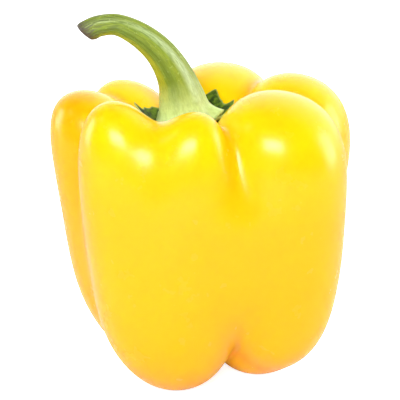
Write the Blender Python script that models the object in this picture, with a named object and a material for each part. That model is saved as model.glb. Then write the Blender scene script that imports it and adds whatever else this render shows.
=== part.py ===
"""Yellow bell pepper standing on its feet, with its green calyx and its bent, cut stem.

Metres, +Z up. The pepper stands on z = 0 and the middle of its plan is the origin. The tables
below hold its shape in millimetres, with x to the side away from the bend of the stem and y to
the back. Angles are in degrees, anticlockwise from x, seen from above.

Fruit: lobes round a core, run together where they meet. A lobe is a pillow, round in plan and
square in height, and its middle line bows out from its foot to its shoulder. The lobes leave a
hollow at the top and a notched underside, and their lowest ends are flattened where they rest.

Calyx: a thin cup on the floor of the hollow. Its rim is cut into pointed sepals, which climb the
wall of the hollow.

Stem: a ridged stalk that flares into the cup, bends over and ends in a slanting cut.
"""
import math

import bpy
import numpy as np

MM = 0.001

# The fruit: its height before its feet are flattened, how far its foot leans out to the side,
# how much is flattened, and how square its lobes are below and above their middle
HEIGHT = 88.0
LEAN = 3.5
REST_DEPTH = 0.9
SQUARE = (4.5, 4.2)

# The core, and the lobes round it: the direction of foot and shoulder, the lowest and highest
# point, and the reach from the middle line and the radius at foot, hip, waist and shoulder
CORE = dict(x=2.5, y=-2.5, radius=28.6, low=18.0, high=72.0, square=(2.6, 3.0))
LOBES = dict(
    front_left=dict(foot=-134, shoulder=-141, low=3.0, high=88.0,
                    reach=(18.4, 20.8, 25.5, 31.0), radius=(16.4, 18.0, 16.0, 13.0)),
    bridge=dict(foot=-128, shoulder=-120, low=12.0, high=78.0,
                reach=(20.0, 21.0, 22.5, 24.5), radius=(14.5, 15.0, 12.0, 9.5)),
    front=dict(foot=-124, shoulder=-93, low=0.4, high=86.3,
               reach=(16.5, 20.0, 22.0, 24.0), radius=(16.0, 16.4, 14.6, 12.2)),
    web=dict(foot=-66, shoulder=-72, low=26.0, high=71.0,
             reach=(19.5, 20.6, 20.4, 18.0), radius=(7.0, 9.5, 9.0, 6.0)),
    front_right=dict(foot=-28, shoulder=-27, low=4.3, high=88.2,
                     reach=(21.0, 23.8, 25.0, 23.6), radius=(14.4, 17.0, 18.9, 20.8)),
    heel=dict(foot=-10, shoulder=-10, low=0.0, high=40.0,
              reach=(14.0, 14.0, 14.0, 14.0), radius=(13.0, 14.0, 14.0, 14.0)),
    back_right=dict(foot=36, shoulder=24, low=4.0, high=87.0,
                    reach=(16.0, 20.0, 28.2, 28.8), radius=(14.0, 18.0, 18.0, 18.0)),
    back=dict(foot=84, shoulder=76, low=-0.4, high=85.9,
              reach=(16.0, 22.0, 23.0, 26.8), radius=(15.0, 18.0, 18.0, 22.0)),
    back_left=dict(foot=140, shoulder=138, low=5.0, high=82.5,
                   reach=(15.0, 20.0, 23.0, 31.4), radius=(13.0, 18.0, 17.0, 15.2)),
    left=dict(foot=168, shoulder=172, low=-0.5, high=84.0,
              reach=(15.0, 23.7, 28.5, 34.0), radius=(13.0, 16.0, 15.0, 16.5)),
)
STATIONS = (-1.0, -1 / 3, 1 / 3, 1.0)
STATION_LIMIT = 1.15

# How wide a lobe's rounded join to those before it is, at its ends and at the waist. The bridge
# and the web fill the grooves between the lobes in front, which are grown together
JOINS = dict(others=(3.0, 5.0), bridge=(6.0, 6.0), front=(7.0, 7.0), web=(7.0, 7.0),
             front_right=(3.0, 6.0), core=(10.0, 10.0))
WAIST = dict(height=44.0, spread=20.0)

# The rays that find the skin: the ribbon they start on, and how finely they are followed
RIBBON = dict(radius=20.0, low=24.0, high=66.0, columns=84, fan=18, side=10)
RAY_REACH = 80.0
RAY_STEPS = 64
RAY_HALVINGS = 24
FLOOR_START = 60.0

# The cup: its middle, its bowl, and how it fits the floor of the hollow. A sepal is a bump on
# the rim: its direction, its length past the rim and its half width in degrees. It is more
# pointed than a round bump, whose power is 2. Parts of the rim curl up off the floor
CUP = dict(x=-4.0, y=0.0, bottom=72.9, rise=8.6, rise_radius=15.0, rise_power=2.5, tilt=0.13,
           clearance=0.8, thickness=0.9, fit=2.0)
SEPAL_BASE = 10.0
SEPALS = ((1, 3.0, 8), (14, 3.6, 11), (34, 1.8, 16), (52, 3.6, 13), (97, 2.6, 14), (148, 1.4, 12),
          (165, 1.9, 10), (182, 4.2, 9), (200, 2.2, 12), (222, 2.4, 14), (243, 2.2, 14), (302, 2.6, 16))
SEPAL_POINT = 1.5
CURLS = ((-26, 0.6, 13), (205, 1.1, 30))
CURL_POWER = 8
CUP_COLUMNS = 72
CUP_RINGS = (0.35, 0.62, 0.82, 0.93, 1.0)

# The stem: the gap to the cup, the rings of its underside as shares of the flare, the ridges
# that run down it and out over the flare, and the stalk's middle line and radii to the cut
STEM_GAP = 0.65
STEM_COLUMNS = 36
STEM_UNDERSIDE = (0.3, 0.6, 0.85)
FLARE = dict(radius=8.4, lift=0.6)
RIDGES = ((-6, 2.8, 16), (68, 1.0, 18), (140, 1.0, 18), (212, 0.8, 18), (312, 1.2, 18))
RIDGE_HEIGHT = 0.09
STEM_PATH = ((-4.8, 0.8, 81.0), (-5.5, 0.6, 84.6), (-6.8, 0.2, 89.2), (-9.1, -0.3, 94.1),
             (-12.5, -0.9, 98.8), (-17.4, -1.6, 103.0), (-23.2, -2.2, 105.8), (-28.4, -2.6, 105.6),
             (-32.1, -2.8, 103.9))
STEM_RADII = (7.4, 6.5, 5.5, 4.8, 4.2, 3.65, 3.1, 3.1, 3.3)
STEM_STEPS = 2
CUT_SLANT = 0.4

# The finishes
COLOURS = dict(fruit=(0.95, 0.62, 0.01), calyx=(0.06, 0.17, 0.02), stem=(0.38, 0.50, 0.12))
ROUGHNESS = dict(fruit=0.22, calyx=0.6, stem=0.5)
SHARP_EDGE = 60


def through_stations(level, values):
    """The cubic through a lobe's foot, hip, waist and shoulder."""
    total = 0.0
    for own, value in zip(STATIONS, values):
        share = 1.0
        for other in STATIONS:
            if other != own:
                share = share * (level - other) / (own - other)
        total = total + share * value
    return total


def pillow_depth(point, centre_x, centre_y, radius, low, high, square):
    """About how far a point lies under the skin of a pillow, negative outside it."""
    half = (high - low) / 2
    rise = (point[..., 2] - (high + low) / 2) / half
    power = np.where(rise > 0, square[1], square[0])
    rise = np.abs(rise)
    across = (point[..., 0] - centre_x) ** 2 + (point[..., 1] - centre_y) ** 2
    share = 1 - across / radius**2 - rise**power
    steepness = np.sqrt(4 * across / radius**4 + (power * rise ** (power - 1) / half) ** 2)
    return share / (steepness + MM)


def run_together(first, second, width):
    """The higher of two depths, rounded where they are within the width of each other."""
    near = np.maximum(width - np.abs(first - second), 0) / width
    return np.maximum(first, second) + near**2 * width / 4


def axis_x(height):
    """The fruit's middle line leans over to the side of the bend of the stem."""
    return LEAN * (1 - height / HEIGHT)


def lobe_depth(point, lobe):
    """How far a point lies inside one lobe."""
    height = point[..., 2]
    half = (lobe["high"] - lobe["low"]) / 2
    level = np.clip((height - lobe["low"]) / half - 1, -STATION_LIMIT, STATION_LIMIT)
    turn = np.radians(lobe["foot"] + (lobe["shoulder"] - lobe["foot"]) * (level + 1) / 2)
    reach = through_stations(level, lobe["reach"])
    radius = through_stations(level, lobe["radius"])
    centre_x = axis_x(height) + reach * np.cos(turn)
    return pillow_depth(point, centre_x, reach * np.sin(turn), radius,
                        lobe["low"], lobe["high"], SQUARE)


def join_width(name, height):
    """How wide the join of a lobe to those before it is at one height."""
    ends, middle = JOINS.get(name, JOINS["others"])
    return ends + (middle - ends) * np.exp(-(((height - WAIST["height"]) / WAIST["spread"]) ** 2))


def fruit_depth(point):
    """How far a point lies inside the whole fruit."""
    height = point[..., 2]
    fruit = None
    for name, lobe in LOBES.items():
        depth = lobe_depth(point, lobe)
        fruit = depth if fruit is None else run_together(fruit, depth, join_width(name, height))
    core = pillow_depth(point, axis_x(height) + CORE["x"], CORE["y"], CORE["radius"],
                        CORE["low"], CORE["high"], CORE["square"])
    return run_together(fruit, core, join_width("core", height))


def where_rays_leave(starts, directions):
    """The point where each ray first comes out of the fruit."""
    reaches = np.linspace(0, RAY_REACH, RAY_STEPS)
    trail = starts[..., None, :] + directions[..., None, :] * reaches[:, None]
    outside = np.argmax(fruit_depth(trail) <= 0, axis=-1)
    near = reaches[np.maximum(outside - 1, 0)]
    far = reaches[outside]
    for _ in range(RAY_HALVINGS):
        middle = (near + far) / 2
        inside = fruit_depth(starts + directions * middle[..., None]) > 0
        near = np.where(inside, middle, near)
        far = np.where(inside, far, middle)
    return starts + directions * ((near + far) / 2)[..., None]


def fruit_rings():
    """Rings of skin from the middle of the underside, out and up, into the hollow.

    The rays start on a ring-shaped ribbon inside the lobes. They fan round from the middle of
    the underside to level, climb the ribbon, and fan on to the middle of the hollow.
    """
    down = np.array([[0.0, 0.0, -1.0]])
    inside = np.array([[0.0, 0.0, (RIBBON["low"] + RIBBON["high"]) / 2]])
    underside = where_rays_leave(inside, down)[0]
    hollow = where_rays_leave(inside, -down)[0]
    first = math.atan2(underside[2] - RIBBON["low"], -RIBBON["radius"])
    last = math.atan2(hollow[2] - RIBBON["high"], -RIBBON["radius"])
    fan = np.arange(1, RIBBON["fan"] + 1) / RIBBON["fan"]
    climb = np.arange(1, RIBBON["side"]) / RIBBON["side"]
    tilt = np.concatenate((first * (1 - fan), 0 * climb, last * (fan - fan[0])))
    heights = np.concatenate((0 * fan + RIBBON["low"],
                              RIBBON["low"] + (RIBBON["high"] - RIBBON["low"]) * climb,
                              0 * fan + RIBBON["high"]))
    turn = np.arange(RIBBON["columns"]) * math.tau / RIBBON["columns"]
    tilt, turn = np.meshgrid(tilt, turn, indexing="ij")
    heights = np.broadcast_to(heights[:, None], tilt.shape)
    starts = np.stack((RIBBON["radius"] * np.cos(turn), RIBBON["radius"] * np.sin(turn), heights), -1)
    directions = np.stack((np.cos(tilt) * np.cos(turn), np.cos(tilt) * np.sin(turn), np.sin(tilt)), -1)
    return underside, where_rays_leave(starts, directions), hollow


def bumps(turn, peaks, base, power=2):
    """A rounded outline with a narrower bump at each peak: direction, height, spread."""
    outline = base + 0 * turn
    for direction, height, spread in peaks:
        away = (turn - math.radians(direction) + math.pi) % math.tau - math.pi
        outline = outline + height * np.exp(-(np.abs(away / math.radians(spread)) ** power))
    return outline


def cup_underside(plan_x, plan_y):
    """Height of the cup's underside: its own bowl, lifted clear of the hollow's floor."""
    starts = np.stack((plan_x, plan_y, 0 * plan_x + FLOOR_START), -1)
    up = np.zeros_like(starts) + (0, 0, 1)
    floor = where_rays_leave(starts, up)[..., 2]
    out = np.hypot(plan_x - CUP["x"], plan_y - CUP["y"]) / CUP["rise_radius"]
    bowl = CUP["bottom"] + CUP["rise"] * out ** CUP["rise_power"] + CUP["tilt"] * (plan_y - CUP["y"])
    return run_together(bowl, floor + CUP["clearance"], CUP["fit"])


def cup_rings():
    """Rings from the middle of the cup's underside to its rim, and back over its inside."""
    turn = np.arange(CUP_COLUMNS) * math.tau / CUP_COLUMNS
    outline = bumps(turn, SEPALS, SEPAL_BASE, SEPAL_POINT)
    shares = np.array(CUP_RINGS)[:, None]
    plan_x = CUP["x"] + shares * outline * np.cos(turn)
    plan_y = CUP["y"] + shares * outline * np.sin(turn)
    curl = shares**CURL_POWER * bumps(turn, CURLS, 0.0)
    under = np.stack((plan_x, plan_y, cup_underside(plan_x, plan_y) + curl), -1)
    over = under[::-1] + (0, 0, CUP["thickness"])
    middle = np.array((CUP["x"], CUP["y"], 0.0))
    middle[2] = cup_underside(middle[:1], middle[1:2])[0]
    return middle, np.concatenate((under, over)), middle + (0, 0, CUP["thickness"])


def spline(points, steps):
    """Points along a Catmull-Rom spline through the given ones, with its direction at each."""
    points = np.array(points, dtype=float)
    padded = np.vstack((2 * points[0] - points[1], points, 2 * points[-1] - points[-2]))
    places = []
    slopes = []
    for index in range(len(points) - 1):
        before, start, end, after = padded[index:index + 4]
        for step in range(steps):
            part = step / steps
            bend = 2 * before - 5 * start + 4 * end - after
            twist = 3 * start - before - 3 * end + after
            places.append(start + part * ((end - before) + part * (bend + part * twist)) / 2)
            slopes.append((end - before) / 2 + part * bend + 1.5 * part**2 * twist)
    places.append(points[-1])
    slopes.append(points[-1] - points[-2])
    return np.array(places), np.array(slopes)


def stem_rings():
    """Rings from the middle of the stem's base, out over the flare and along the stalk."""
    turn = np.arange(STEM_COLUMNS) * math.tau / STEM_COLUMNS
    flare = bumps(turn, RIDGES, FLARE["radius"])
    rings = []
    for share, lift in [(share, 0.0) for share in STEM_UNDERSIDE] + [(1.0, FLARE["lift"])]:
        plan_x = CUP["x"] + share * flare * np.cos(turn)
        plan_y = CUP["y"] + share * flare * np.sin(turn)
        height = cup_underside(plan_x, plan_y) + CUP["thickness"] + STEM_GAP + lift
        rings.append(np.stack((plan_x, plan_y, height), -1))
    places, slopes = spline(STEM_PATH, STEM_STEPS)
    radii = spline([(radius,) for radius in STEM_RADII], STEM_STEPS)[0][:, 0]
    ridged = bumps(turn, [(direction, 1.0, spread) for direction, _, spread in RIDGES], 0.0)
    side = np.array((1.0, 0.0, 0.0))
    last = len(places) - 1
    for index, (place, slope, radius) in enumerate(zip(places, slopes, radii)):
        along = slope / np.linalg.norm(slope)
        side = side - along * np.dot(side, along)
        side = side / np.linalg.norm(side)
        across = np.cross(along, side)
        out = radius * (1 + RIDGE_HEIGHT * (ridged - ridged.mean()))
        ring = place + np.outer(out * np.cos(turn), side) + np.outer(out * np.sin(turn), across)
        if index == last:
            ring = ring + CUT_SLANT * np.outer(out * np.cos(turn), along)
        rings.append(ring)
    middle = np.array((CUP["x"], CUP["y"], 0.0))
    middle[2] = cup_underside(middle[:1], middle[1:2])[0] + CUP["thickness"] + STEM_GAP
    return middle, np.array(rings), places[-1]


def closed_mesh(name, first, rings, last, fold=None):
    """One closed body of triangles: a point, rings round it, and a point at the other end.

    Past the fold the rings come back over the first ones, and the triangles are split the other
    way, so that the two faces of a thin piece match.
    """
    count, columns = rings.shape[:2]
    points = [tuple(first)] + [tuple(point) for point in rings.reshape(-1, 3)] + [tuple(last)]
    faces = []
    for column in range(columns):
        beside = (column + 1) % columns
        faces.append((0, 1 + beside, 1 + column))
        for ring in range(count - 1):
            here = 1 + ring * columns
            there = here + columns
            corners = (here + column, here + beside, there + beside, there + column)
            if fold is not None and ring >= fold:
                corners = corners[1:] + corners[:1]
            faces.append((corners[0], corners[1], corners[2]))
            faces.append((corners[0], corners[2], corners[3]))
        top = 1 + (count - 1) * columns
        faces.append((top + column, top + beside, len(points) - 1))
    mesh = bpy.data.meshes.new(name)
    mesh.from_pydata(points, [], faces)
    mesh.validate()
    mesh.shade_smooth()
    mesh.set_sharp_from_angle(angle=math.radians(SHARP_EDGE))
    return mesh


def plain_material(name):
    """A finish of one colour and gloss."""
    material = bpy.data.materials.new(name)
    material.use_nodes = True
    shader = material.node_tree.nodes["Principled BSDF"]
    shader.inputs["Base Color"].default_value = (*COLOURS[name], 1.0)
    shader.inputs["Roughness"].default_value = ROUGHNESS[name]
    shader.inputs["Metallic"].default_value = 0.0
    return material


def add_piece(name, shift, first, rings, last, fold=None):
    """One named object, moved to stand on the origin and scaled to metres."""
    mesh = closed_mesh(name, (first + shift) * MM, (rings + shift) * MM, (last + shift) * MM, fold)
    mesh.materials.append(plain_material(name))
    piece = bpy.data.objects.new(name, mesh)
    bpy.context.scene.collection.objects.link(piece)
    return piece


def main():
    for old in list(bpy.data.objects):
        bpy.data.objects.remove(old)
    underside, skin, hollow = fruit_rings()
    skin[..., 2] = np.maximum(skin[..., 2], REST_DEPTH)
    low = skin.min(axis=(0, 1))
    high = skin.max(axis=(0, 1))
    shift = np.array((-(low[0] + high[0]) / 2, -(low[1] + high[1]) / 2, -REST_DEPTH))
    add_piece("fruit", shift, underside, skin, hollow)
    add_piece("calyx", shift, *cup_rings(), fold=len(CUP_RINGS) - 1)
    add_piece("stem", shift, *stem_rings())


main()
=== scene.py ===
import math

import bpy
import numpy as np
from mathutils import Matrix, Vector, noise


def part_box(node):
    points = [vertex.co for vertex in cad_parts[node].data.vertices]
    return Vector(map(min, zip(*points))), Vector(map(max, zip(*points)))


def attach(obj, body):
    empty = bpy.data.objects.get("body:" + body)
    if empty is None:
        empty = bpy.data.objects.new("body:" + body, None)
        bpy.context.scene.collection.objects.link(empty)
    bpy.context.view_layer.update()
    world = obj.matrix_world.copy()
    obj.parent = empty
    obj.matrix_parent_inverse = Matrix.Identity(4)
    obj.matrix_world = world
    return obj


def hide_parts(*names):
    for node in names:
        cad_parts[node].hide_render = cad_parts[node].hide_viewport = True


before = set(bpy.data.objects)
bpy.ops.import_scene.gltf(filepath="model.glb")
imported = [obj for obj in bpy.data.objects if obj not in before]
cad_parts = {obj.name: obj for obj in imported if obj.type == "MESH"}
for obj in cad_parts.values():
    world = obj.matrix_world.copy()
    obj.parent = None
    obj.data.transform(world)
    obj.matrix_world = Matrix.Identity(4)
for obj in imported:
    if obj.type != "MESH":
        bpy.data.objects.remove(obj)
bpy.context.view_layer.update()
mm = 0.001
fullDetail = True
print("frame loaded:", ", ".join(sorted(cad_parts)))


# Lengths in millimetres, angles in degrees seen from above, anticlockwise from x.
# Each lobe leans round from foot to shoulder. Its reach from the middle line and its
# radius are given at foot, hip, waist and shoulder.
fruit = {
    "height": 88.0,
    "lean": 3.5,  # how far to the right the middle line starts
    "restDepth": 0.9,  # the lobes' ends are flattened up to this height
    "square": (4.5, 4.2),  # how blunt a lobe is at its foot, and at its shoulder
    "core": {"x": 2.5, "y": -2.5, "radius": 28.6, "low": 18.0, "high": 72.0, "square": (2.6, 3.0)},
    "lobes": {
        "frontLeft": {"foot": -134, "shoulder": -141, "low": 3.0, "high": 88.0,
                      "reach": (18.4, 20.8, 25.5, 31.0), "radius": (16.4, 18.0, 16.0, 13.0)},
        "bridge": {"foot": -128, "shoulder": -120, "low": 12.0, "high": 78.0,
                   "reach": (20.0, 21.0, 22.5, 24.5), "radius": (14.5, 15.0, 12.0, 9.5)},
        "front": {"foot": -124, "shoulder": -93, "low": 0.4, "high": 86.3,
                  "reach": (16.5, 20.0, 22.0, 24.0), "radius": (16.0, 16.4, 14.6, 12.2)},
        "web": {"foot": -66, "shoulder": -72, "low": 26.0, "high": 71.0,
                "reach": (19.5, 20.6, 20.4, 18.0), "radius": (7.0, 9.5, 9.0, 6.0)},
        "frontRight": {"foot": -28, "shoulder": -27, "low": 4.3, "high": 88.2,
                       "reach": (21.0, 23.8, 25.0, 23.6), "radius": (14.4, 17.0, 18.9, 20.8)},
        "heel": {"foot": -10, "shoulder": -10, "low": 0.0, "high": 40.0,
                 "reach": (14.0, 14.0, 14.0, 14.0), "radius": (13.0, 14.0, 14.0, 14.0)},
        "backRight": {"foot": 36, "shoulder": 24, "low": 4.0, "high": 87.0,
                      "reach": (16.0, 20.0, 28.2, 28.8), "radius": (14.0, 18.0, 18.0, 18.0)},
        "back": {"foot": 84, "shoulder": 76, "low": -0.4, "high": 85.9,
                 "reach": (16.0, 22.0, 23.0, 26.8), "radius": (15.0, 18.0, 18.0, 22.0)},
        "backLeft": {"foot": 140, "shoulder": 138, "low": 5.0, "high": 82.5,
                     "reach": (15.0, 20.0, 23.0, 31.4), "radius": (13.0, 18.0, 17.0, 15.2)},
        "left": {"foot": 168, "shoulder": 172, "low": -0.5, "high": 84.0,
                 "reach": (15.0, 23.7, 28.5, 34.0), "radius": (13.0, 16.0, 15.0, 16.5)},
    },
    # how softly a lobe runs into the others: width at its ends, and at the waist
    "joins": {"others": (3.0, 5.0), "bridge": (6.0, 6.0), "front": (7.0, 7.0), "web": (7.0, 7.0),
              "frontRight": (3.0, 6.0), "core": (10.0, 10.0)},
    "waist": {"height": 44.0, "spread": 20.0},
    "ribbon": {"radius": 20.0, "low": 24.0, "high": 66.0, "columns": 384 if fullDetail else 224,
               "fan": 72 if fullDetail else 42, "side": 46 if fullDetail else 26},
    "fold": 6.0,  # the surfaces of two lobes lie this near to each other in a fold
    "filled": (1.5, 5.0),  # near the bridge and the web there is no fold: offset, over how far
    "swell": ((24.0, 0.25, 3.5), (9.0, 0.03, 43.5)),  # uneven growth: how long, how high, seed
}
stations = (-1.0, -1 / 3, 1 / 3, 1.0)  # foot, hip, waist and shoulder
pastEnds = 1.15  # a lobe's curves are followed a little past its foot and shoulder
leastSlope, leastLength = 0.001, 1e-9  # nothing is divided by zero
rays = {"reach": 80.0, "steps": 64, "halvings": 22}


# A smooth curve through the values at the four stations
def throughStations(level, values):
    total = 0.0
    for own, value in zip(stations, values):
        share = 1.0
        for other in stations:
            if other != own:
                share = share * (level - other) / (own - other)
        total = total + share * value
    return total


# How deep a point lies in an upright pillow, below 0 outside it
def pillowDepth(point, centreX, centreY, radius, low, high, square):
    half = (high - low) / 2
    rise = (point[..., 2] - (high + low) / 2) / half
    power = np.where(rise > 0, square[1], square[0])
    rise = np.abs(rise)
    across = (point[..., 0] - centreX) ** 2 + (point[..., 1] - centreY) ** 2
    share = 1 - across / radius**2 - rise**power
    steepness = np.sqrt(4 * across / radius**4 + (power * rise ** (power - 1) / half) ** 2)
    return share / (steepness + leastSlope)


# The deeper of the two, rounded where they cross
def runTogether(first, second, width):
    near = np.maximum(width - np.abs(first - second), 0) / width
    return np.maximum(first, second) + near**2 * width / 4


def lobeDepth(point, lobe):
    height = point[..., 2]
    half = (lobe["high"] - lobe["low"]) / 2
    level = np.clip((height - lobe["low"]) / half - 1, -pastEnds, pastEnds)
    turn = np.radians(lobe["foot"] + (lobe["shoulder"] - lobe["foot"]) * (level + 1) / 2)
    reach = throughStations(level, lobe["reach"])
    radius = throughStations(level, lobe["radius"])
    centreX = fruit["lean"] * (1 - height / fruit["height"]) + reach * np.cos(turn)
    return pillowDepth(point, centreX, reach * np.sin(turn), radius,
                       lobe["low"], lobe["high"], fruit["square"])


def joinWidth(name, height):
    ends, middle = fruit["joins"].get(name, fruit["joins"]["others"])
    fromWaist = (height - fruit["waist"]["height"]) / fruit["waist"]["spread"]
    return ends + (middle - ends) * np.exp(-(fromWaist**2))


def fruitDepth(point):
    height = point[..., 2]
    whole = None
    for name, lobe in fruit["lobes"].items():
        depth = lobeDepth(point, lobe)
        whole = depth if whole is None else runTogether(whole, depth, joinWidth(name, height))
    core = fruit["core"]
    centreX = fruit["lean"] * (1 - height / fruit["height"]) + core["x"]
    inner = pillowDepth(point, centreX, core["y"], core["radius"], core["low"], core["high"], core["square"])
    return runTogether(whole, inner, joinWidth("core", height))


def whereRaysLeave(starts, directions):
    reaches = np.linspace(0, rays["reach"], rays["steps"])
    trail = starts[..., None, :] + directions[..., None, :] * reaches[:, None]
    outside = np.argmax(fruitDepth(trail) <= 0, axis=-1)
    near = reaches[np.maximum(outside - 1, 0)]
    far = reaches[outside]
    for _ in range(rays["halvings"]):
        middle = (near + far) / 2
        inside = fruitDepth(starts + directions * middle[..., None]) > 0
        near = np.where(inside, middle, near)
        far = np.where(inside, far, middle)
    return starts + directions * ((near + far) / 2)[..., None]


def turnsRound(columns):
    return np.arange(columns) * math.tau / columns


# Rays fan round from the middle of the underside, climb a ribbon inside the lobes,
# and fan on into the middle of the hollow.
def growFruit():
    ribbon = fruit["ribbon"]
    low, high, radius = ribbon["low"], ribbon["high"], ribbon["radius"]
    inside = np.array([[0.0, 0.0, (low + high) / 2]])
    up = np.array((0.0, 0.0, 1.0))
    underside = whereRaysLeave(inside, -up[None])[0]
    hollow = whereRaysLeave(inside, up[None])[0]
    first = math.atan2(underside[2] - low, -radius)
    last = math.atan2(hollow[2] - high, -radius)
    fan = np.arange(1, ribbon["fan"] + 1) / ribbon["fan"]
    climb = np.arange(1, ribbon["side"]) / ribbon["side"]
    tilts = np.concatenate((first * (1 - fan), 0 * climb, last * (fan - fan[0])))
    heights = np.concatenate((0 * fan + low, low + (high - low) * climb, 0 * fan + high))
    turn = turnsRound(ribbon["columns"])
    out = np.stack((np.cos(turn), np.sin(turn), 0 * turn), -1)
    rings = []
    for tilt, height in zip(tilts, heights):  # ring by ring, to keep the arrays small
        rings.append(whereRaysLeave(radius * out + height * up, math.cos(tilt) * out + math.sin(tilt) * up))
    return underside, np.array(rings), hollow


# How deep in a fold between two lobes a point lies, from 0 to 1; the skin's painted shade in the folds
# follows it
def foldShare(points):
    depths = {name: lobeDepth(points, lobe) for name, lobe in fruit["lobes"].items()}
    start, over = fruit["filled"]
    filled = np.clip(start + np.maximum(depths.pop("bridge"), depths.pop("web")) / over, 0, 1)
    depths["front"] = np.maximum(depths["front"], depths.pop("frontLeft"))
    depths = np.sort(np.stack(list(depths.values()), -1), axis=-1)
    apart = depths[..., -1] - depths[..., -2]
    return np.clip(1 - apart / fruit["fold"], 0, 1) * (1 - filled)


def outwardDirections(first, rings, last):
    across = np.roll(rings, -1, axis=1) - np.roll(rings, 1, axis=1)
    ends = [np.broadcast_to(end, rings[:1].shape) for end in (first, last)]
    whole = np.concatenate((ends[0], rings, ends[1]))
    out = np.cross(across, whole[2:] - whole[:-2])
    return out / (np.linalg.norm(out, axis=-1, keepdims=True) + leastLength)


def noiseField(points, size, seed):
    flat = points.reshape(-1, 3) / size + seed
    values = [noise.noise(Vector(point)) for point in flat.tolist()]
    return np.array(values).reshape(points.shape[:-1])


def swell(first, rings, last):
    outward = outwardDirections(first, rings, last)
    swollen = rings.copy()
    for size, height, seed in fruit["swell"]:
        swollen += outward * (height * noiseField(rings, size, seed))[..., None]
    return swollen


def corners(rings):
    return rings.min(axis=(0, 1)), rings.max(axis=(0, 1))


# One closed body: a point, rings round it, and a point at the other end
def closedMesh(name, first, rings, last, attributes):
    count, columns = rings.shape[:2]
    points = np.concatenate((first[None], rings.reshape(-1, 3), last[None]))
    faces = []
    top = 1 + (count - 1) * columns
    for column in range(columns):
        beside = (column + 1) % columns
        faces.append((0, 1 + beside, 1 + column))
        faces.append((top + column, top + beside, len(points) - 1))
    for ring in range(count - 1):
        here = 1 + ring * columns
        there = here + columns
        for column in range(columns):
            beside = (column + 1) % columns
            faces.append((here + column, here + beside, there + beside, there + column))
    mesh = bpy.data.meshes.new(name)
    mesh.from_pydata((points * mm).tolist(), [], faces)
    mesh.shade_smooth()
    for label, values in attributes.items():
        values = np.broadcast_to(values, (count, columns, *values.shape[2:]))
        whole = np.concatenate((values[:1].mean(axis=1), values.reshape(-1, *values.shape[2:]),
                                values[-1:].mean(axis=1)))
        kind, slot = ("FLOAT", "value") if values.ndim == 2 else ("FLOAT_VECTOR", "vector")
        layer = mesh.attributes.new(label, kind, "POINT")
        layer.data.foreach_set(slot, whole.astype(np.float32).ravel())
    piece = bpy.data.objects.new(name, mesh)
    bpy.context.scene.collection.objects.link(piece)
    return piece


underside, skin, hollow = growFruit()
folds = foldShare(skin)
skin[..., 2] = np.maximum(skin[..., 2], fruit["restDepth"])
swollen = swell(underside, skin, hollow)
swollen[..., 2] = np.maximum(swollen[..., 2], fruit["restDepth"])
boxLow, boxHigh = (np.array(corner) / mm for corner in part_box("fruit"))
skinLow, skinHigh = corners(skin)
swollenLow, swollenHigh = corners(swollen)
shift = (boxLow + boxHigh) / 2 - (skinLow + skinHigh) / 2  # calyx and stem move with the fruit
fit = (boxHigh - boxLow) / (swollenHigh - swollenLow)
print("fruit grown, shift", shift.round(3), "box", (skinHigh - skinLow).round(2), (boxHigh - boxLow).round(2))


def placeFruit(points):
    return (points - swollenLow) * fit + boxLow


fruitPiece = closedMesh("pepperFruit", placeFruit(underside), placeFruit(swollen), placeFruit(hollow),
                        {"fold": folds, "fromBottom": np.linspace(0, 1, len(skin))[:, None]})
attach(fruitPiece, "root")
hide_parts("fruit")


# A cup on the floor of the hollow, with its rim cut into sepals
calyx = {
    "x": -4.0, "y": 0.0,
    "bottom": 72.9, "rise": 8.6, "riseRadius": 15.0, "risePower": 2.5, "tilt": 0.13,
    "lookFrom": 60.0,  # the floor of the hollow is looked for from this height up
    "clearance": 0.8, "thickness": 0.9, "fit": 2.0,  # over the floor, of the cup, of their join
    "base": 10.0,
    # direction, length, spread
    "sepals": ((1, 3.0, 8), (14, 3.6, 11), (34, 1.8, 16), (52, 3.6, 13), (97, 2.6, 14), (148, 1.4, 12),
               (165, 1.9, 10), (182, 4.2, 9), (200, 2.2, 12), (222, 2.4, 14), (243, 2.2, 14),
               (302, 2.6, 16)),
    "point": 1.5,  # below 2 the sepals are pointed
    "curls": ((-26, 0.6, 13), (205, 1.1, 30)), "curlPower": 8,  # where the rim turns up
    "columns": 288, "rings": 30,
}


# A rounded outline with a bump at each peak: direction, height, spread
def bumps(turn, peaks, base, power=2):
    outline = base + 0 * turn
    for direction, height, spread in peaks:
        away = (turn - math.radians(direction) + math.pi) % math.tau - math.pi
        outline = outline + height * np.exp(-(np.abs(away / math.radians(spread)) ** power))
    return outline


def cupUnderside(planX, planY):
    starts = np.stack((planX, planY, 0 * planX + calyx["lookFrom"]), -1)
    floor = whereRaysLeave(starts, np.zeros_like(starts) + (0, 0, 1))[..., 2]
    out = np.hypot(planX - calyx["x"], planY - calyx["y"]) / calyx["riseRadius"]
    bowl = calyx["bottom"] + calyx["rise"] * out ** calyx["risePower"] + calyx["tilt"] * (planY - calyx["y"])
    return runTogether(bowl, floor + calyx["clearance"], calyx["fit"])


def cupCentre(lift):
    centre = np.array((calyx["x"], calyx["y"], 0.0))
    centre[2] = cupUnderside(centre[:1], centre[1:2])[0] + lift
    return centre


def roundCup(reach, turn):
    return calyx["x"] + reach * np.cos(turn), calyx["y"] + reach * np.sin(turn)


def growCalyx():
    turn = turnsRound(calyx["columns"])
    shares = np.linspace(0, 1, calyx["rings"] + 1)[1:, None]
    planX, planY = roundCup(shares * bumps(turn, calyx["sepals"], calyx["base"], calyx["point"]), turn)
    curl = shares ** calyx["curlPower"] * bumps(turn, calyx["curls"], 0.0)
    under = np.stack((planX, planY, cupUnderside(planX, planY) + curl), -1)
    over = under[::-1] + (0, 0, calyx["thickness"])
    return cupCentre(0.0), np.concatenate((under, over)), cupCentre(calyx["thickness"])


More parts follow.
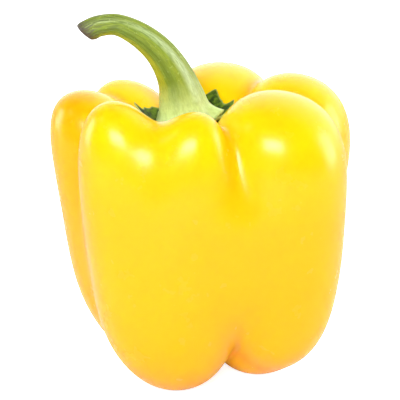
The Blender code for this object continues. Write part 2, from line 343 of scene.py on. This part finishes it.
cupFoot, cup, cupTop = growCalyx()
outToRim = np.linspace(0, 1, calyx["rings"])
rim = np.concatenate((outToRim, outToRim[::-1]))[:, None]
calyxPiece = closedMesh("pepperCalyx", cupFoot + shift, cup + shift, cupTop + shift, {"rim": rim})
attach(calyxPiece, "root")
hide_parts("calyx")
print("calyx grown")


stem = {
    "gap": 0.65, "columns": 180,
    # rings under the flare and at its edge: share of its reach, lift
    "underside": ((0.25, 0.0), (0.5, 0.0), (0.7, 0.0), (0.85, 0.0), (0.95, 0.0), (1.0, 0.6)),
    "flare": {"radius": 8.4, "sink": 0.4, "rings": 8},
    # down the stalk and out over the flare: direction, reach past the flare, spread
    "ridges": ((-6, 2.8, 16), (68, 1.0, 18), (140, 1.0, 18), (212, 0.8, 18), (312, 1.2, 18)),
    "ridgeHeight": 0.09,
    "grooves": ((13, 0.012, 0.4), (22, 0.008, 2.1), (37, 0.005, 4.0)),  # how many round it, depth, phase
    "waver": {"swing": 3.0, "pace": 2.3}, "groovesFull": 0.25,  # full depth a quarter of the way along
    # pale crests and dark grooves, partly the stalk's own tone, partly a painted highlight on the crests and
    # painted shade in the grooves: direction, tone, spread
    "tones": ((-10, -0.4, 12), (68, 0.6, 18), (105, -0.6, 16), (140, 0.6, 18), (175, -0.4, 14),
              (215, 0.3, 14), (258, -1.0, 20), (314, 1.1, 17)),
    "path": ((-4.8, 0.8, 81.0), (-5.5, 0.6, 84.6), (-6.8, 0.2, 89.2), (-9.1, -0.3, 94.1),
             (-12.5, -0.9, 98.8), (-17.4, -1.6, 103.0), (-23.2, -2.2, 105.8), (-28.4, -2.6, 105.6),
             (-32.1, -2.8, 103.9)),
    "radii": (7.4, 6.5, 5.5, 4.8, 4.2, 3.65, 3.1, 3.1, 3.3),
    "steps": 14,  # rings from one point of the path to the next
    "slim": 0.977,  # keeps the grooved stalk inside the plain one's box
    "slant": {"from": 0.8, "height": 0.4}, "worn": {"from": 0.95, "depth": 0.12},
    "cutFace": ((0.97, 0.25), (0.9, 0.45), (0.7, 0.35), (0.45, 0.15), (0.2, 0.1)),  # share, push
    "cutMiddle": 0.1, "brownPart": 1 / 12,  # how far the middle bulges, how much of the end browns
    "grain": {"radius": 5, "length": 60},  # the straight stalk that the streaks are drawn on
}


# Points and slopes of a smooth curve through the given points
def spline(points, steps):
    points = np.array(points, dtype=float)
    padded = np.vstack((2 * points[0] - points[1], points, 2 * points[-1] - points[-2]))
    places, slopes = [], []
    for index in range(len(points) - 1):
        before, start, end, after = padded[index:index + 4]
        for step in range(steps):
            part = step / steps
            bend = 2 * before - 5 * start + 4 * end - after
            twist = 3 * start - before - 3 * end + after
            places.append(start + part * ((end - before) + part * (bend + part * twist)) / 2)
            slopes.append((end - before) / 2 + part * bend + 1.5 * part**2 * twist)
    places.append(points[-1])
    slopes.append(points[-1] - points[-2])
    return np.array(places), np.array(slopes)


# From 0 at the start to 1 at the end
def past(part, start):
    return np.clip((part - start) / (1 - start), 0, 1)


# How far out the stalk's surface stands all round, at one part of its length
def stalkOutline(turn, part, ridged):
    out = 1 + stem["ridgeHeight"] * (ridged - ridged.mean())
    for count, depth, phase in stem["grooves"]:
        waver = stem["waver"]["swing"] * np.sin(stem["waver"]["pace"] * part + phase)
        out = out + depth * np.sin(count * turn + phase + waver) * min(1, part / stem["groovesFull"])
    return out * (1 - stem["worn"]["depth"] * past(part, stem["worn"]["from"]) ** 3)


def growStalk(turn):
    places, slopes = spline(stem["path"], stem["steps"])
    radii = spline([(radius,) for radius in stem["radii"]], stem["steps"])[0][:, 0]
    ridged = bumps(turn, [(direction, 1.0, spread) for direction, _, spread in stem["ridges"]], 0.0)
    side = np.array((1.0, 0.0, 0.0))
    rings = []
    for index, (place, slope, radius) in enumerate(zip(places, slopes, radii)):
        direction = slope / np.linalg.norm(slope)
        side = side - direction * np.dot(side, direction)
        side = side / np.linalg.norm(side)
        across = np.cross(direction, side)
        part = index / (len(places) - 1)
        out = stem["slim"] * radius * stalkOutline(turn, part, ridged)
        ring = place + np.outer(out * np.cos(turn), side) + np.outer(out * np.sin(turn), across)
        slant = stem["slant"]["height"] * past(part, stem["slant"]["from"]) ** 2
        rings.append(ring + slant * np.outer(out * np.cos(turn), direction))
    face = []
    for share, push in stem["cutFace"]:
        face.append(place + (rings[-1] - place) * share + direction * push)
    return rings, face, place + stem["cutMiddle"] * direction


def growFlare(turn, stalk):
    reach = bumps(turn, stem["ridges"], stem["flare"]["radius"])
    rings = []
    for share, lift in stem["underside"]:
        planX, planY = roundCup(share * reach, turn)
        height = cupUnderside(planX, planY) + calyx["thickness"] + stem["gap"] + lift
        rings.append(np.stack((planX, planY, height), -1))
    edge, foot = rings[-1], stalk[0]
    inward = (foot - edge) * (1, 1, stem["flare"]["sink"])
    rise = (stalk[1] - foot) * stem["steps"]
    steps = stem["flare"]["rings"]
    for step in range(1, steps):
        part = step / steps
        start = (2 * part**3 - 3 * part**2 + 1) * edge + (part**3 - 2 * part**2 + part) * inward
        rings.append(start + (3 * part**2 - 2 * part**3) * foot + (part**3 - part**2) * rise)
    return rings


def growStem():
    turn = turnsRound(stem["columns"])
    stalk, face, middle = growStalk(turn)
    flare = growFlare(turn, stalk)
    rings = np.array(flare + stalk + face)
    along = np.arange(len(stalk)) / (len(stalk) - 1)
    along = np.concatenate((np.zeros(len(flare)), along, np.ones(len(face))))[:, None]
    thick, long = stem["grain"]["radius"], stem["grain"]["length"]
    grain = np.broadcast_arrays(thick * np.cos(turn), thick * np.sin(turn), long * along)
    fields = {"cut": past(along, 1 - stem["brownPart"]), "along": along,
              "tone": bumps(turn, stem["tones"], 0.0)[None], "grain": np.stack(grain, -1)}
    return cupCentre(calyx["thickness"]) + (0, 0, stem["gap"]), rings, middle, fields


stemFoot, stemRings, cutMiddle, stemFields = growStem()
stemPiece = closedMesh("pepperStem", stemFoot + shift, stemRings + shift, cutMiddle + shift, stemFields)
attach(stemPiece, "root")
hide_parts("stem")
print("stem grown")


def plug(tree, node, inputs):
    for key, value in inputs.items():
        if isinstance(value, bpy.types.NodeSocket):
            tree.links.new(value, node.inputs[key])
        else:
            node.inputs[key].default_value = value


def put(tree, kind, inputs=None, **settings):
    node = tree.nodes.new(kind)
    for key, value in settings.items():
        setattr(node, key, value)
    plug(tree, node, inputs or {})
    return node


def calculate(tree, operation, first, second=0.0, clamp=False):
    return put(tree, "ShaderNodeMath", {0: first, 1: second}, operation=operation, use_clamp=clamp).outputs[0]


def multiply(tree, first, second):
    return calculate(tree, "MULTIPLY", first, second)


def remap(tree, value, low, high, toLow=0.0, toHigh=1.0):
    node = put(tree, "ShaderNodeMapRange", {"Value": value, "From Min": low, "From Max": high,
                                            "To Min": toLow, "To Max": toHigh}, clamp=True)
    return node.outputs["Result"]


def field(tree, name, output="Fac"):
    return put(tree, "ShaderNodeAttribute", attribute_name=name).outputs[output]


def useGroup(tree, group, **inputs):
    return put(tree, "ShaderNodeGroup", inputs, node_tree=group).outputs[0]


# One colour of the finish, and others laid over it, each where its mask says
def layColours(tree, finish, base, *layers):
    colour = finish[base]
    for name, mask in layers:
        mix = put(tree, "ShaderNodeMix", {0: mask, 6: colour, 7: finish[name]}, data_type="RGBA")
        colour = mix.outputs[2]
    return colour


def bumpNormal(tree, height, strength, distance):
    bump = put(tree, "ShaderNodeBump", {"Height": height, "Strength": strength, "Distance": distance})
    return bump.outputs["Normal"]


# Soft patches of colour: where they are, how large in millimetres, how sharp
def mottleGroup():
    tree = bpy.data.node_groups.new("mottle", "ShaderNodeTree")
    tree.interface.new_socket("Place", in_out="INPUT", socket_type="NodeSocketVector")
    for label, value in (("Size", 10.0), ("Low", 0.4), ("High", 0.6)):
        socket = tree.interface.new_socket(label, in_out="INPUT", socket_type="NodeSocketFloat")
        socket.default_value = value
    tree.interface.new_socket("Mask", in_out="OUTPUT", socket_type="NodeSocketFloat")
    given, made = tree.nodes.new("NodeGroupInput"), tree.nodes.new("NodeGroupOutput")
    scale = calculate(tree, "DIVIDE", 1.0, given.outputs["Size"])
    cloud = put(tree, "ShaderNodeTexNoise", {"Vector": given.outputs["Place"], "Scale": scale,
                                             "Detail": 3.0, "Roughness": 0.55})
    mask = remap(tree, cloud.outputs[0], given.outputs["Low"], given.outputs["High"])
    tree.links.new(mask, made.inputs["Mask"])
    return tree


mottle = mottleGroup()


def newFinish(name):
    material = bpy.data.materials.new(name)
    material.use_nodes = True
    tree = material.node_tree
    place = put(tree, "ShaderNodeTexCoord").outputs["Object"]
    inMillimetres = put(tree, "ShaderNodeVectorMath", {0: place, 1: (1 / mm,) * 3}, operation="MULTIPLY")
    return material, tree, tree.nodes["Principled BSDF"], inMillimetres.outputs[0]


# In each finish a range of four numbers says from where to where a value runs, in
# millimetres or as a share, and what it becomes at the two ends.
skinFinish = {
    # the crest colour paints light from above on the shoulders, partly the skin's own paler yellow
    "paleTopLight": (0.97, 0.61, 0.001, 1), "lemon": (0.97, 0.555, 0.001, 1),
    # golden and amber are darker colours that paint shade: golden low down and on the left flank, amber in
    # the folds, at the foot and on the left flank
    "goldenShade": (0.97, 0.475, 0.001, 1), "amberShade": (0.96, 0.30, 0.001, 1),
    "topLightHeight": (70.0, 80.0, 0.0, 1.0),
    # how far up the golden painted shade reaches, and across the left flank
    "shadeUpTo": (0.53, 0.70, 1.0, 0.0), "leftFlankShade": (-36.0, -26.0, 1.0, 0.0),
    "patches": {"Size": 16.0, "Low": 0.3, "High": 0.7}, "patchShare": 0.15,
    # amber paints shade in the folds between lobes, low down at the foot near the floor, and on the left
    # flank
    "foldShade": (0.4, 1.0, 0.0, 0.6), "footShade": (12.0, 2.0, 0.0, 0.35), "leftFlankAmberShade": 0.35,
    "clouds": {"Size": 6.0, "Low": 0.3, "High": 0.7}, "cloudGloss": (0.0, 1.0, 0.23, 0.28),
    "pores": {"Scale": 0.2, "Detail": 1.0}, "poreStrength": 0.05, "poreDepth": 0.0003,
    "bend": 1.36, "glow": 0.6, "glowReach": (1.0, 0.3, 0.01), "glowDepth": 0.008,
}


def makeSkin():
    material, tree, shader, place = newFinish("skin")
    where = put(tree, "ShaderNodeSeparateXYZ", {0: place}).outputs
    # The left flank is painted darker golden and amber: painted shade of the side the key light misses,
    # partly the skin's own deeper yellow.
    side = remap(tree, where[0], *skinFinish["leftFlankShade"])
    patches = useGroup(tree, mottle, Place=place, **skinFinish["patches"])
    patchShare = skinFinish["patchShare"]
    # Darker golden towards the bottom: painted shade of the lower sides, mixed with random patches of the
    # skin's own tone.
    goldenShade = remap(tree, field(tree, "fromBottom"), *skinFinish["shadeUpTo"])
    goldenShade = calculate(tree, "ADD", multiply(tree, goldenShade, 1 - patchShare),
                       multiply(tree, patches, patchShare))
    goldenShade = calculate(tree, "MAXIMUM", goldenShade, side)
    # Amber in the folds and at the foot: painted shade of the creases and of the underside near the floor.
    amberShade = calculate(tree, "MAXIMUM", remap(tree, field(tree, "fold"), *skinFinish["foldShade"]),
                      remap(tree, where[2], *skinFinish["footShade"]))
    amberShade = calculate(tree, "MAXIMUM", amberShade, multiply(tree, side, skinFinish["leftFlankAmberShade"]))
    # Paler towards the top: painted light from above, partly the skin's own paler yellow.
    paleTopLight = remap(tree, where[2], *skinFinish["topLightHeight"])
    clouds = useGroup(tree, mottle, Place=place, **skinFinish["clouds"])
    pores = put(tree, "ShaderNodeTexNoise", {"Vector": place, **skinFinish["pores"]}).outputs[0]
    plug(tree, shader, {
        "Base Color": layColours(tree, skinFinish, "lemon", ("paleTopLight", paleTopLight), ("goldenShade", goldenShade),
                                 ("amberShade", amberShade)),
        "Roughness": remap(tree, clouds, *skinFinish["cloudGloss"]),
        "Normal": bumpNormal(tree, pores, skinFinish["poreStrength"], skinFinish["poreDepth"]),
        "IOR": skinFinish["bend"],
        "Subsurface Weight": skinFinish["glow"],
        "Subsurface Radius": skinFinish["glowReach"],
        "Subsurface Scale": skinFinish["glowDepth"],
    })
    return material


sepalFinish = {
    "dark": (0.02, 0.045, 0.001, 1), "green": (0.12, 0.20, 0.006, 1), "edge": (0.40, 0.46, 0.10, 1),
    "patches": {"Size": 1.6, "Low": 0.4, "High": 0.62}, "patchGloss": (0.0, 1.0, 0.55, 0.65),
    "edgeFrom": (0.97, 1.0, 0.0, 1.0),
    "veins": {"Scale": 0.8, "Detail": 2.0}, "veinStrength": 0.5, "veinDepth": 0.0004,
    "specular": 0.2,
}


def makeSepals():
    material, tree, shader, place = newFinish("sepals")
    patches = useGroup(tree, mottle, Place=place, **sepalFinish["patches"])
    edge = remap(tree, field(tree, "rim"), *sepalFinish["edgeFrom"])
    veins = put(tree, "ShaderNodeTexNoise", {"Vector": place, **sepalFinish["veins"]}).outputs[0]
    plug(tree, shader, {
        "Base Color": layColours(tree, sepalFinish, "dark", ("green", patches), ("edge", edge)),
        "Roughness": remap(tree, patches, *sepalFinish["patchGloss"]),
        "Normal": bumpNormal(tree, veins, sepalFinish["veinStrength"], sepalFinish["veinDepth"]),
        "Specular IOR Level": sepalFinish["specular"],
    })
    return material


stalkFinish = {
    # the pale colour paints a highlight on the crests, over their own paler tone
    "base": (0.62, 0.77, 0.28, 1), "paleCrestHighlight": (0.50, 0.61, 0.30, 1), "mid": (0.22, 0.31, 0.02, 1),
    # deep is the colour of the dark streaks, and of the grooves' own darker tone with painted shade in it
    "deepAndShade": (0.12, 0.19, 0.012, 1), "olive": (0.42, 0.40, 0.015, 1), "grey": (0.10, 0.095, 0.05, 1),
    "brown": (0.07, 0.05, 0.03, 1),
    # broad and fine streaks, flecks and blotches
    "stretch": (1, 1, 0.12), "broad": {"Size": 2.5, "Low": 0.35, "High": 0.65},
    "streaks": {"Size": 0.4, "Low": 0.42, "High": 0.62}, "flecks": {"Size": 0.8, "Low": 0.62, "High": 0.75},
    "blotches": {"Size": 1.6, "Low": 0.45, "High": 0.7},
    # where each colour shows: inside of the bend, by tone, and along the stalk
    "oliveInside": (-2.0, -4.6, 0.0, 0.8), "oliveBroad": 0.25,
    # the crests' pale tone carries a painted highlight, the grooves' dark tone a painted shade
    "grooveShadeTone": (-0.2, -1.0, 0.0, 0.85), "crestHighlightTone": (0.3, 1.0, 0.0, 0.9),
    "crestHighlightAlong": (0.5, 0.75, 1.0, 0.25), "baseAlong": (0.0, 0.28, 0.95, 0.0),
    "streaksAlong": (0.1, 0.8, 0.2, 0.9), "wornAlong": (0.7, 1.0, 0.0, 1.0),
    "blotchesAlong": (0.0, 0.5, 0.35, 0.0), "fleckShare": 0.3,
    "streakGloss": (0.0, 1.0, 0.36, 0.5), "streakStrength": 0.35, "streakDepth": 0.0003,
}


def makeStalk():
    material, tree, shader, place = newFinish("stalk")
    grain, tone, along = field(tree, "grain", "Vector"), field(tree, "tone"), field(tree, "along")
    drawn = put(tree, "ShaderNodeVectorMath", {0: grain, 1: stalkFinish["stretch"]}, operation="MULTIPLY")
    broad = useGroup(tree, mottle, Place=drawn.outputs[0], **stalkFinish["broad"])
    streaks = useGroup(tree, mottle, Place=drawn.outputs[0], **stalkFinish["streaks"])
    flecks = useGroup(tree, mottle, Place=place, **stalkFinish["flecks"])
    blotches = useGroup(tree, mottle, Place=place, **stalkFinish["blotches"])
    across = put(tree, "ShaderNodeSeparateXYZ", {0: grain}).outputs[0]
    olive = calculate(tree, "ADD", remap(tree, across, *stalkFinish["oliveInside"]),
                      multiply(tree, broad, stalkFinish["oliveBroad"]), clamp=True)
    # Pale crests on the lower stalk: their own paler tone and a painted highlight.
    crestHighlights = multiply(tree, remap(tree, tone, *stalkFinish["crestHighlightTone"]),
                      remap(tree, along, *stalkFinish["crestHighlightAlong"]))
    colour = layColours(
        tree, stalkFinish, "mid",
        ("olive", olive),
        # dark grooves: their own darker tone and painted shade
        ("deepAndShade", remap(tree, tone, *stalkFinish["grooveShadeTone"])),
        ("paleCrestHighlight", crestHighlights),
        ("base", remap(tree, along, *stalkFinish["baseAlong"])),
        ("deepAndShade", multiply(tree, streaks, remap(tree, along, *stalkFinish["streaksAlong"]))),
        ("grey", multiply(tree, streaks, remap(tree, along, *stalkFinish["wornAlong"]))),
        ("mid", multiply(tree, blotches, remap(tree, along, *stalkFinish["blotchesAlong"]))),
        ("base", multiply(tree, flecks, stalkFinish["fleckShare"])),
        ("brown", field(tree, "cut")),
    )
    plug(tree, shader, {
        "Base Color": colour,
        "Roughness": remap(tree, streaks, *stalkFinish["streakGloss"]),
        "Normal": bumpNormal(tree, streaks, stalkFinish["streakStrength"], stalkFinish["streakDepth"]),
    })
    return material


for piece, material in ((fruitPiece, makeSkin()), (calyxPiece, makeSepals()), (stemPiece, makeStalk())):
    piece.data.materials.append(material)
print("finishes made")


# In metres, and in degrees from straight in front, to the right
studio = {
    # how bright the surroundings are, how they turn with each axis, and what the camera sees of them
    "dark": 0.06, "bright": 2.2, "shown": 1.2, "turn": (0.35, 1.0, 0.0), "from": 0.15, "to": 0.9,
    # glow shows to the camera alone, light falls on the fruit too
    "floor": {"half": 1.5, "drop": 0.0001, "colour": (0.78, 0.78, 0.78, 1), "roughness": 0.8,
              "glow": 0.8, "light": 0.05},
    "aim": (0, 0, 0.05),
    "lights": {
        "keySoftbox": {"direction": -9, "height": 33, "distance": 1.1, "size": (0.62, 0.30), "power": 14.0},
        "sideSoftbox": {"direction": -80, "height": 45, "distance": 1.0, "size": (0.2, 0.2), "power": 0.3},
        "leftEdgeSoftbox": {"direction": -105, "height": 6, "distance": 1.0, "size": (0.4, 0.8),
                            "power": 7.0},
        "rightEdgeSoftbox": {"direction": 100, "height": 6, "distance": 1.0, "size": (0.4, 0.8),
                             "power": 7.0},
    },
}


def addLight(name, setting):
    light = bpy.data.lights.new(name, "AREA")
    light.shape = "RECTANGLE"
    light.size, light.size_y = setting["size"]
    light.energy = setting["power"]
    lamp = bpy.data.objects.new(name, light)
    turn, height = math.radians(setting["direction"]), math.radians(setting["height"])
    away = Vector((math.sin(turn) * math.cos(height), -math.cos(turn) * math.cos(height), math.sin(height)))
    lamp.location = away * setting["distance"] + Vector(studio["aim"])
    lamp.rotation_mode = "QUATERNION"
    lamp.rotation_quaternion = away.to_track_quat("Z", "Y")
    bpy.context.scene.collection.objects.link(lamp)


def addFloor():
    setting = studio["floor"]
    half = setting["half"]
    mesh = bpy.data.meshes.new("floor")
    mesh.from_pydata([(-half, -half, 0), (half, -half, 0), (half, half, 0), (-half, half, 0)],
                     [], [(0, 1, 2, 3)])
    floor = bpy.data.objects.new("floor", mesh)
    floor.location = (0, 0, -setting["drop"])
    bpy.context.scene.collection.objects.link(floor)
    material = bpy.data.materials.new("floor")
    material.use_nodes = True
    tree = material.node_tree
    seen = put(tree, "ShaderNodeLightPath").outputs["Is Camera Ray"]
    glow = calculate(tree, "ADD", multiply(tree, seen, setting["glow"]), setting["light"])
    plug(tree, tree.nodes["Principled BSDF"], {
        "Base Color": setting["colour"],
        "Roughness": setting["roughness"],
        "Emission Color": (1, 1, 1, 1),
        "Emission Strength": glow,
    })
    mesh.materials.append(material)


# White all round, darker in front of the object, where the studio is open
def addSurroundings():
    world = bpy.data.worlds.new("studio")
    world.use_nodes = True
    tree = world.node_tree
    direction = put(tree, "ShaderNodeTexCoord").outputs["Generated"]
    aim = put(tree, "ShaderNodeVectorMath", {0: direction, 1: studio["turn"]}, operation="DOT_PRODUCT")
    strength = remap(tree, aim.outputs["Value"], studio["from"], studio["to"],
                     studio["dark"], studio["bright"])
    seen = put(tree, "ShaderNodeLightPath").outputs["Is Camera Ray"]
    shown = put(tree, "ShaderNodeMix", {0: seen, 2: strength, 3: studio["shown"]}, data_type="FLOAT")
    plug(tree, tree.nodes["Background"], {"Strength": shown.outputs[0], "Color": (1, 1, 1, 1)})
    bpy.context.scene.world = world


addFloor()
for name, setting in studio["lights"].items():
    addLight(name, setting)
addSurroundings()
bpy.context.scene.view_settings.view_transform = "Standard"
print("studio lit")


view = {"place": (-0.0004, -0.6133, 0.2654), "lookAt": (-0.0004, -0.0025, 0.0518),
        "lens": 200.0, "sensor": 36.0}
lens = bpy.data.cameras.new("camera")
lens.lens = view["lens"]
lens.sensor_width = view["sensor"]
cameraObject = bpy.data.objects.new("camera", lens)
cameraObject.location = view["place"]
cameraObject.rotation_mode = "QUATERNION"
cameraObject.rotation_quaternion = (Vector(view["place"]) - Vector(view["lookAt"])).to_track_quat("Z", "Y")
bpy.context.scene.collection.objects.link(cameraObject)
bpy.context.scene.camera = cameraObject
